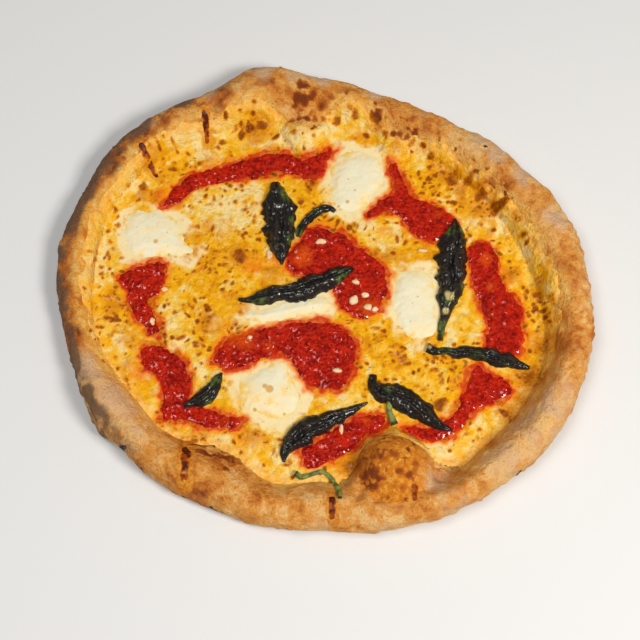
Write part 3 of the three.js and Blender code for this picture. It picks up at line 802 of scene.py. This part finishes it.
tomato_red = Finish(
    "tomato_sauce", Subsurface_Weight=0.03, Subsurface_Scale=0.002, Specular_IOR_Level=0.12,
    Coat_Roughness=0.06, Coat_IOR=1.5,
)
coarse, fine = tomato_red.grain(0.006), tomato_red.grain(0.0018)
thin = tomato_red.mask("thin") + (coarse - 0.5) * 0.5
pulpy = coarse * 0.5 + fine * 0.5
colour = tomato_red.mix(pulpy.between(0.36, 0.62), linear(136, 4, 0), linear(204, 34, 0))
colour = tomato_red.mix(thin.between(0.35, 0.9) * 0.85, colour, linear(226, 80, 4))
tomato_red.surface(Base_Color=colour, Roughness=0.38 - 0.14 * coarse, Coat_Weight=fine.between(0.5, 0.62))
tomato_red.bump(coarse * 0.35 + fine * 0.65, 0.0032)
for name, ring in sauce_outlines.items():
    plan, shape = plan_grid(ring.min(axis=0) - margin, ring.max(axis=0) + margin, sauce_step)
    flat = lying(plan)
    inward = inside_distance(plan, ring) + sauce_spread + frayed(plan, 1.3 * mm)
    drift = swirled(flat, 6 * mm, 1.5 * mm, 51)
    pulp = np.sqrt(crumbs(drift[:, :2], int(len(plan) / 45), 1.0, 3.2, 54))
    relief = 0.35 * noise(drift, 7 * mm, 55) + 0.3 * noise(drift, 3 * mm, 56) + 0.5 * pulp - 0.3
    relief += 0.1 * noise(flat, 1.4 * mm, 57)
    swell = swelling(inward, 2.2 * mm)
    height = sauce_level + mm * relief * (0.3 + 0.7 * swell) + 0.9 * mm * swell
    height -= 1.5 * mm * ramp(-inward, 0, 2 * mm)
    thinness = np.exp(-np.maximum(inward, 0) / (1.6 * mm)) * (0.9 + 0.5 * noise(drift, 6 * mm, 58))
    thinness = np.maximum(thinness, blobs(drift, thin_places))
    patch = sheet(name + "_pulp", plan, shape, height, inward > -2 * mm, {"thin": thinness})
    patch.data.materials.append(tomato_red.material)
    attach(patch, "root")
    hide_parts(name)

# The mozzarella is torn from fresh balls. Each piece has melted into a smooth creamy pool
# with a soft edge, yellow where it meets the golden cheese, and a few browned specks.
mozzarella_level = 6.05 * mm
mozzarella_rise = 1.9 * mm
# Browned specks, and where the pools are yellow
browned_milk = [
    (-29, -55, 2.2, 1.2), (-31.5, -53.5, 1.6, 1), (36, 52, 1.5, 0.9), (-92, 28, 1.6, 0.9),
]
tinged = [
    (-28, -62, 5, 0.9), (-84, 44, 5, 0.4), (-66, 26, 5, 0.6), (-45, -55, 9, 1.1), (-38, -61, 9, 0.9),
    (-20, -58, 7, 0.7), (24, 46, 6, 0.6), (48, -24, 6, 0.5), (58, -22, 6, 0.6),
]
creamy_white = Finish(
    "mozzarella", Subsurface_Weight=0.2, Subsurface_Scale=0.004, Specular_IOR_Level=0.3,
    Coat_Roughness=0.2, Coat_IOR=1.3,
)
coarse, middling, fine = creamy_white.grain(0.008), creamy_white.grain(0.004), creamy_white.grain(0.0018)
tinge = creamy_white.mask("tinge") + (coarse - 0.5) * 0.6 + (middling - 0.5) * 0.6
colour = creamy_white.mix(tinge.between(0.1, 0.6), linear(234, 225, 190), linear(240, 220, 170))
colour = creamy_white.mix(tinge.between(0.6, 1.1), colour, linear(242, 196, 84))
speck = creamy_white.mask("speck") + (fine - 0.5) * 0.3
colour = creamy_white.mix(speck.between(0.25, 0.75) * 0.8, colour, linear(206, 150, 30))
creamy_white.surface(Base_Color=colour, Roughness=0.42 + 0.1 * fine, Coat_Weight=0.3 * coarse)
creamy_white.bump(coarse * 0.7 + middling * 0.3, 0.0008)
for name, ring in mozzarella_outlines.items():
    plan, shape = plan_grid(ring.min(axis=0) - margin, ring.max(axis=0) + margin, sauce_step)
    flat = lying(plan)
    inward = inside_distance(plan, ring) + mozzarella_spread + frayed(plan, 1.2 * mm)
    relief = 0.4 * noise(flat, 12 * mm, 61) + 0.16 * noise(flat, 5 * mm, 62)
    relief += 0.03 * noise(flat, 2 * mm, 63)
    swell = swelling(inward, 6 * mm)
    height = mozzarella_level + mm * relief * (0.2 + 0.8 * swell) + mozzarella_rise * swell
    height -= 1.5 * mm * ramp(-inward, 0, 2 * mm)
    tinge = 0.9 * np.exp(-np.maximum(inward - 2 * mm, 0) / (3.5 * mm)) + 0.25 * noise(flat, 10 * mm, 64)
    tinge = np.maximum(tinge, blobs(plan, tinged)) + 0.3 * noise(flat, 3 * mm, 66) * (tinge > 0.15)
    specks = crumbs(plan, max(3, int(len(plan) / 500)), 0.6, 1.6, 65)
    specks = np.maximum(specks, blobs(plan, browned_milk))
    pool = sheet(name + "_pool", plan, shape, height, inward > -2 * mm, {"tinge": tinge, "speck": specks})
    pool.data.materials.append(creamy_white.material)
    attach(pool, "root")
    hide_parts(name)

# Juice and cheese that ran up over the rim has scorched into hard glossy streaks, dark brown
# in the middle and amber at their edges.
drip_shape = [0.3, 0.85, 1.0, 0.95, 0.8, 0.75, 0.7, 0.25]
drip_rise = 0.5 * mm
drip_root = 0.5 * mm
strip_step = 0.45 * mm


def strip(places, half_widths, across_count):
    """A plan grid along a smooth line and across it, with how far each point is both ways."""
    places = np.asarray(places, float) * mm + hub
    half_widths = np.asarray(half_widths, float) * mm
    long_way = np.hypot(*np.diff(places, axis=0).T).sum()
    along = np.linspace(0, len(places) - 1.001, max(8, int(long_way / strip_step)))
    middle = smooth_through(places, along, False)
    half = np.maximum(smooth_through(half_widths[:, None], along, False)[:, 0], 0.15 * mm)
    heading = np.gradient(middle, axis=0)
    heading /= np.linalg.norm(heading, axis=1)[:, None]
    sideways = np.column_stack([-heading[:, 1], heading[:, 0]])
    lengths = np.concatenate([[0], np.cumsum(np.linalg.norm(np.diff(middle, axis=0), axis=1))])
    out = np.linspace(-1, 1, across_count)
    run = np.broadcast_to(lengths[:, None], (len(along), across_count))
    edges = []
    for side in (places[0, 0] - 1, places[0, 1] + 1):
        edge = np.column_stack([lengths, np.full(len(lengths), side), 0 * lengths])
        edges.append(noise(edge, 4 * mm, 70) + 0.6 * noise(edge, 1.7 * mm, 71))
    share = (out + 1) / 2
    wobble = edges[0][:, None] * (1 - share) + edges[1][:, None] * share
    reach = out * half[:, None] * (1 + 0.22 * wobble)
    grid = middle[:, None] + sideways[:, None] * reach[..., None]
    return grid, run, reach, out, half


def shell(grid, top, bottom):
    """Vertices and faces of a closed body between two heights over a strip's grid."""
    count = top.size
    index = np.arange(count).reshape(top.shape)
    upper = np.stack([index[:-1, :-1], index[1:, :-1], index[1:, 1:], index[:-1, 1:]], axis=-1)
    upper = upper.reshape(-1, 4)[:, ::-1]
    rim = np.concatenate([index[0], index[1:, -1], index[-1, -2::-1], index[-2:0:-1, 0]])
    following = np.roll(rim, -1)
    sides = np.column_stack([rim, following, following + count, rim + count])
    faces = np.concatenate([upper, upper[:, ::-1] + count, sides])
    flat = grid.reshape(-1, 2)
    vertices = np.concatenate([
        np.column_stack([flat, top.ravel()]), np.column_stack([flat, bottom.ravel()])
    ])
    return vertices, faces


def joined(name, bodies, masks):
    """One mesh object of several bodies, each with its own values for each mask."""
    shift = np.cumsum([0] + [len(vertices) for vertices, _ in bodies[:-1]])
    vertices = np.concatenate([vertices for vertices, _ in bodies])
    faces = np.concatenate([faces + start for (_, faces), start in zip(bodies, shift)])
    values = {mask: np.concatenate(parts) for mask, parts in masks.items()}
    return mesh_object(name, vertices.tolist(), faces.tolist(), values)


def topping_height(x, y):
    """Height of the highest finished surface at points on the plan."""
    best = dough_height(x, y)
    for low, step, heights in surfaces:
        place_x, place_y = (x - low[0]) / step, (y - low[1]) / step
        column = np.clip(np.floor(place_x).astype(int), 0, heights.shape[1] - 2)
        row = np.clip(np.floor(place_y).astype(int), 0, heights.shape[0] - 2)
        side, up = np.clip(place_x - column, 0, 1), np.clip(place_y - row, 0, 1)
        near = heights[row, column] * (1 - side) + heights[row, column + 1] * side
        far = heights[row + 1, column] * (1 - side) + heights[row + 1, column + 1] * side
        inside = (place_x > 0) & (place_x < heights.shape[1] - 1)
        inside &= (place_y > 0) & (place_y < heights.shape[0] - 1)
        best = np.where(inside, np.maximum(best, near * (1 - up) + far * up), best)
    return best


bodies = []
burnt_shares = []
for x, y, end_x, end_y, radius, amount in drips:
    places = np.linspace((x, y), (end_x, end_y), len(drip_shape))
    widths = radius * np.array(drip_shape)
    grid, run, _, out, _ = strip(places, widths, 15)
    ground = topping_height(grid[..., 0], grid[..., 1])
    ends = ramp(run, 0, 1.5 * mm) * ramp(run.max() - run, 0, 1.5 * mm)
    spot = np.column_stack([grid.reshape(-1, 2), ground.ravel()])
    lumps = (noise(spot, 2.2 * mm, 72) + 0.5 * noise(spot, 1.1 * mm, 73)).reshape(ground.shape)
    rise = drip_rise * (1 + 0.6 * lumps) * np.sqrt(np.clip(1 - out ** 2, 0, 1)) * ends
    bodies.append(shell(grid, ground + rise - 0.25 * mm, ground - drip_root))
    burnt = 0.55 * ramp(1 - np.abs(out), 0, 0.5) * np.sqrt(ends) + 0.5 * ramp(run, 0.5 * run.max(), 0)
    burnt_shares.append(np.tile(((burnt + 0.45 * lumps) * amount + 0.1).ravel(), 2))
streaks_piece = joined("scorched_streaks", bodies, {"burnt": burnt_shares})
scorched = Finish("scorched_juice", Specular_IOR_Level=0.12, Coat_Roughness=0.15, Coat_IOR=1.3)
coarse, fine = scorched.grain(0.003), scorched.grain(0.0012)
burnt = scorched.mask("burnt") + (coarse - 0.5) * 0.8
colour = scorched.mix(burnt.between(0.0, 0.45), linear(222, 140, 34), linear(164, 76, 10))
colour = scorched.mix(burnt.between(0.45, 0.95), colour, linear(78, 24, 4))
scorched.surface(Base_Color=colour, Roughness=0.45 - 0.1 * coarse, Coat_Weight=0.5 * fine)
scorched.bump(coarse * 0.6 + fine * 0.4, 0.0014)
streaks_piece.data.materials.append(scorched.material)
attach(streaks_piece, "root")

# The basil went on fresh and wilted in the oven: each leaf has shrunk into a crumpled, oily,
# almost black strip with sharp folds, and only its thickest parts are still green.
# Each line has places along a leaf and half its width there, all in millimetres
leaves = {
    "basil_top": [
        (-27, 63, 2.2), (-26, 57, 5.9), (-25, 49, 8.4), (-24, 40, 8.9), (-24, 31, 8.1),
        (-24, 24, 4.9), (-23, 15, 0.5),
    ],
    "basil_curl": [
        (-14, 31, 1.4), (-12, 37, 2.2), (-7, 43, 2.4), (-2, 47, 2.4), (3, 48, 1.9), (6, 46, 1.2),
    ],
    "basil_centre": [
        (-46, -5, 0.8), (-40, -5, 2.2), (-34, -4, 4.3), (-24, -1, 4.6), (-14, 0, 5.9),
        (-3, 4, 5.9), (6, 8, 4.9), (14, 12, 2.2), (16, 13, 0.5),
    ],
    "basil_right": [
        (72, 42, 0.4), (72, 37, 3.2), (71, 28, 7.0), (70, 18, 8.1), (69, 7, 7.8), (67, -3, 5.9),
        (65, -12, 3.2), (63, -20, 2.0), (62, -28, 1.6),
    ],
    "basil_far_right": [
        (55, -32, 2.8), (60, -34, 2.2), (65, -34, 2.0), (70, -35, 2.7), (77, -35, 3.8),
        (88, -37, 4.3), (97, -39, 3.8), (103, -41, 2.7), (109, -43, 1.1),
    ],
    "basil_lower_right": [
        (26, -47, 1.6), (26, -52, 2.9), (30, -56, 4.9), (37, -58, 6.0), (45, -62, 6.5),
        (53, -68, 5.4), (60, -74, 3.2), (67, -77, 0.5),
    ],
    "basil_bottom": [
        (-21, -94, 0.5), (-20, -88, 3.2), (-15, -82, 5.9), (-9, -77, 6.5), (-1, -74, 5.4),
        (6, -70, 4.3), (15, -66, 2.2), (23, -62, 0.4),
    ],
    "basil_lower_left": [
        (-74, -64, 1.1), (-69, -62, 2.7), (-64, -60, 4.3), (-59, -54, 3.8), (-56, -49, 2.2),
        (-54, -46, 0.5),
    ],
}
# Where they are still green, and how much
green_parts = [
    (-20, 55, 5, 1), (-18, 40, 3, 0.7), (-18, 28, 4, 0.7), (-24, 60, 4, 0.6), (-14, 33, 3, 1),
    (-3, 45, 3, 0.9), (-35, -8, 5, 1), (10, 6, 5, 1), (68, 33, 3.5, 1), (75, 34, 3, 0.7), (75, 2, 3, 0.7),
    (66, -6, 4, 0.8), (63, -22, 6, 0.9), (64, -34, 5, 0.9), (82, -39, 6, 0.6), (96, -42, 3, 0.5),
    (33, -57, 4, 0.6), (-60, -52, 3, 0.9), (-62, -62, 4, 0.7), (-57, -50, 3, 0.8),
]
pale_parts = [(67, -4, 3.2, 1), (65, -12, 2.6, 0.9), (56, -32, 2, 0.7), (-46, -5, 1.5, 0.3)]
leaf_thickness = 0.7 * mm
leaf_root = 0.4 * mm
leaf_swell = 0.62
leaf_highest = 3.6 * mm


def leaf_noise(order, along, sideways, size, seed):
    """Noise over a leaf's own grid, different on each leaf."""
    places = np.stack([along, sideways, 0 * along + 9 * mm * order], axis=-1)
    return noise(places.reshape(-1, 3), size, seed).reshape(along.shape)


wilted = Finish("wilted_basil", Specular_IOR_Level=0.25, Coat_Roughness=0.1)
coarse, fine = wilted.grain(0.004), wilted.grain(0.0011)
# The tops of the folds are painted lighter, brown on the dark leaf and pale green where it is green: a
# painted highlight.
ridge_highlight = wilted.mask("ridge_highlight") + (fine - 0.5) * 0.5
colour = wilted.mix(ridge_highlight.between(0.5, 1.0), linear(13, 8, 3), linear(50, 38, 24))
leafy = wilted.mask("green") + (coarse - 0.5) * 0.6
green = wilted.mix(ridge_highlight.between(0.2, 0.9), linear(22, 36, 6), linear(96, 118, 44))
colour = wilted.mix(leafy.between(0.25, 0.9) * 0.9, colour, green)
bleached = wilted.mask("pale") + (coarse - 0.5) * 0.5
colour = wilted.mix(bleached.between(0.35, 0.8), colour, linear(206, 186, 120))
wilted.surface(Base_Color=colour, Roughness=0.5 - 0.1 * coarse, Coat_Weight=fine.between(0.35, 0.6) * 0.9)
wilted.bump(coarse * 0.4 + fine * 0.6, 0.0022)
for order, (name, line) in enumerate(leaves.items()):
    line = np.array(line)
    grid, run, reach, out, half = strip(line[:, :2], line[:, 2], 37)
    ground = topping_height(grid[..., 0], grid[..., 1])
    fold = 1 - np.abs(leaf_noise(order, 0.28 * run, reach + 0.05 * run, 2.3 * mm, 74)) * 2
    crumple = 1 - np.abs(leaf_noise(order, 0.6 * run, reach, 1.3 * mm, 75)) * 2
    crease = out - 0.25 * leaf_noise(order, run, 0 * run, 14 * mm, 76)
    swell = np.minimum(leaf_swell * half, leaf_highest)[:, None] * (1 - np.abs(out) ** 2.4) ** 0.7
    swell = swell * (1 - 0.35 * np.exp(-(crease / 0.14) ** 2))
    depth = np.minimum(half / (6 * mm), 1)[:, None] * (1 - out ** 6)
    top = ground + leaf_thickness + swell + depth * (0.75 * fold + 0.4 * crumple) * mm
    body = shell(grid, top, ground - leaf_root)
    # How high each point stands on its folds and crumples, for the painted highlight on their tops.
    ridge_highlights = np.clip(0.45 * fold + 0.35 * crumple + 0.2, 0, 1).ravel()
    spots = grid.reshape(-1, 2)
    masks = {"ridge_highlight": [np.tile(ridge_highlights, 2)], "green": [np.tile(blobs(spots, green_parts), 2)]}
    masks["pale"] = [np.tile(blobs(spots, pale_parts), 2)]
    leaf = joined("wilted_" + name, [body], masks)
    leaf.data.materials.append(wilted.material)
    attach(leaf, "root")
    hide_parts(name)

# The thin stalks are still green: one lies loose from the sauce up over the rim, and a short
# one sticks out from under a leaf.
stalks = {
    "loose_stalk": [
        (-15, -100, 1.9), (-12, -102, 1.5), (-8, -101, 1.1), (-1, -99, 1.1), (4, -103, 1.2),
        (7, -109, 1.4), (8, -115, 1.1),
    ],
    "short_stalk": [(35, -60, 1.5), (34, -64, 1.5), (35, -69, 1.6), (37, -74, 2.0)],
}
fresh = Finish("green_stalk", Specular_IOR_Level=0.4, Coat_Roughness=0.12, Coat_IOR=1.3, Coat_Weight=0.3)
coarse, fine = fresh.grain(0.003), fresh.grain(0.0008)
colour = fresh.mix(coarse.between(0.35, 0.65), linear(74, 88, 26), linear(142, 152, 74))
colour = fresh.mix(fresh.mask("end").between(0.3, 1.0), colour, linear(40, 42, 22))
fresh.surface(Base_Color=colour, Roughness=0.4 + 0.1 * fine)
fresh.bump(fine, 0.0006)
for name, line in stalks.items():
    line = np.array(line)
    grid, run, _, out, half = strip(line[:, :2], line[:, 2], 13)
    ground = topping_height(grid[..., 0], grid[..., 1])
    middle_ground = ground[:, 6:7]
    round_over = half[:, None] * np.sqrt(np.clip(1 - out ** 2, 0, 1))
    top = np.maximum(ground + 0.1 * mm, middle_ground + 0.7 * half[:, None] + round_over)
    body = shell(grid, top, np.minimum(ground - 0.2 * mm, top - 0.3 * mm))
    ends = ramp(np.minimum(run, run.max() - run), 3 * mm, 0).ravel()
    stalk = joined(name, [body], {"end": [np.tile(ends, 2)]})
    stalk.data.materials.append(fresh.material)
    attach(stalk, "root")
    if name == "loose_stalk":
        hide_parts("basil_stalk")

# Small bits of cheese have fallen on the sauce and set into pale rounded crumbs. Each is a
# ball of nine rings, stretched and made lumpy, that rests on what is under it.
crumb_places = [
    (17.3, 5.1, 2.0, 1.7), (16.4, -5.1, 2.6, 2.3), (22.1, -2.5, 2.2, 1.4), (23.6, -9.1, 2.6, 1.9),
    (-2.0, 28.3, 3.0, 1.7), (-29.6, 21.2, 1.5, 3.0), (54.0, 23.1, 2.8, 1.2), (27.5, -10.6, 1.8, 1.5),
    (-39.7, -26.4, 1.5, 1.2), (7.1, -44.7, 2.4, 1.4), (-86, 1, 1.6, 1.2), (-92, -17, 1.6, 2.0),
    (9, -76, 1.1, 3.4),
]
crumb_height = 1.1 * mm
rings, sides = 9, 16
bodies = []
for order, (x, y, long_way, short_way) in enumerate(crumb_places):
    tilts = np.linspace(0, math.pi, rings)
    turns = np.linspace(0, 2 * math.pi, sides, endpoint=False)
    tilt, turn = np.meshgrid(tilts, turns, indexing="ij")
    ball = np.stack([np.sin(tilt) * np.cos(turn), np.sin(tilt) * np.sin(turn), np.cos(tilt)], axis=-1)
    ball = ball.reshape(-1, 3)
    swollen = 1 + 0.35 * noise(ball, 0.9, 80 + order) + 0.15 * noise(ball, 0.45, 80 + order)
    lump = ball * swollen[:, None] * np.array([long_way * mm, short_way * mm, crumb_height])
    place = np.array([x, y]) * mm + hub
    rest = topping_height(place[:1], place[1:])[0]
    faces = ring_faces(np.arange(rings * sides).reshape(rings, sides))
    bodies.append((lump + [*place, rest + 0.15 * crumb_height], faces))
crumb_piece = joined("cheese_crumbs", bodies, {})
pale_crumb = Finish(
    "cheese_crumb", Subsurface_Weight=0.15, Subsurface_Scale=0.002, Coat_Roughness=0.2, Coat_IOR=1.3,
)
coarse, fine = pale_crumb.grain(0.003), pale_crumb.grain(0.001)
colour = pale_crumb.mix(coarse.between(0.3, 0.7), linear(244, 216, 176), linear(240, 190, 128))
pale_crumb.surface(Base_Color=colour, Roughness=0.4 + 0.1 * fine, Coat_Weight=0.5 * coarse)
pale_crumb.bump(fine, 0.0006)
crumb_piece.data.materials.append(pale_crumb.material)
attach(crumb_piece, "root")

# A plain pale floor, a soft light from the right, a broader and weaker one from overhead on
# the left, and a weak even light all round.
floor_mesh = bpy.data.meshes.new("floor")
floor_side = 3.0
corners = [(x * floor_side, y * floor_side, 0) for x, y in ((-1, -1), (1, -1), (1, 1), (-1, 1))]
floor_mesh.from_pydata(corners, [], [(0, 1, 2, 3)])
floor = bpy.data.objects.new("floor", floor_mesh)
bpy.context.collection.objects.link(floor)
plain = Finish("pale_floor", Base_Color=linear(226, 225, 222), Roughness=0.6)
floor.data.materials.append(plain.material)


def soft_light(name, place, size, power, colour):
    """A square soft box that faces the middle of the pizza."""
    lamp = bpy.data.lights.new(name, "AREA")
    lamp.size = size
    lamp.energy = power
    lamp.color = colour
    light = bpy.data.objects.new(name, lamp)
    light.location = place
    light.rotation_euler = light.location.to_track_quat("Z", "Y").to_euler()
    bpy.context.collection.objects.link(light)


soft_light("key_light", (0.65, -0.42, 0.95), size=0.36, power=10.7, colour=(1.0, 0.98, 0.95))
soft_light("top_light", (-0.35, -0.1, 1.25), size=0.6, power=7.0, colour=(0.98, 0.98, 1.0))
world = bpy.data.worlds.new("even_light")
world.use_nodes = True
background = world.node_tree.nodes["Background"].inputs
background["Color"].default_value = (1, 0.99, 0.97, 1)
background["Strength"].default_value = 0.16
bpy.context.scene.world = world
bpy.context.scene.view_settings.view_transform = "Standard"

# The camera looks down at the pizza from the photograph's side
camera_data = bpy.data.cameras.new("camera")
camera = bpy.data.objects.new("camera", camera_data)
bpy.context.collection.objects.link(camera)
bpy.context.scene.camera = camera
camera_data.lens = 78.6
camera_data.sensor_width = 36
elevation = math.radians(72.5)
distance = 0.75
aim = np.array([-2.4, -16.3, 6]) * mm
camera.location = aim + distance * np.array([0, -math.cos(elevation), math.sin(elevation)])
camera.rotation_euler = (math.pi / 2 - elevation, 0, 0)
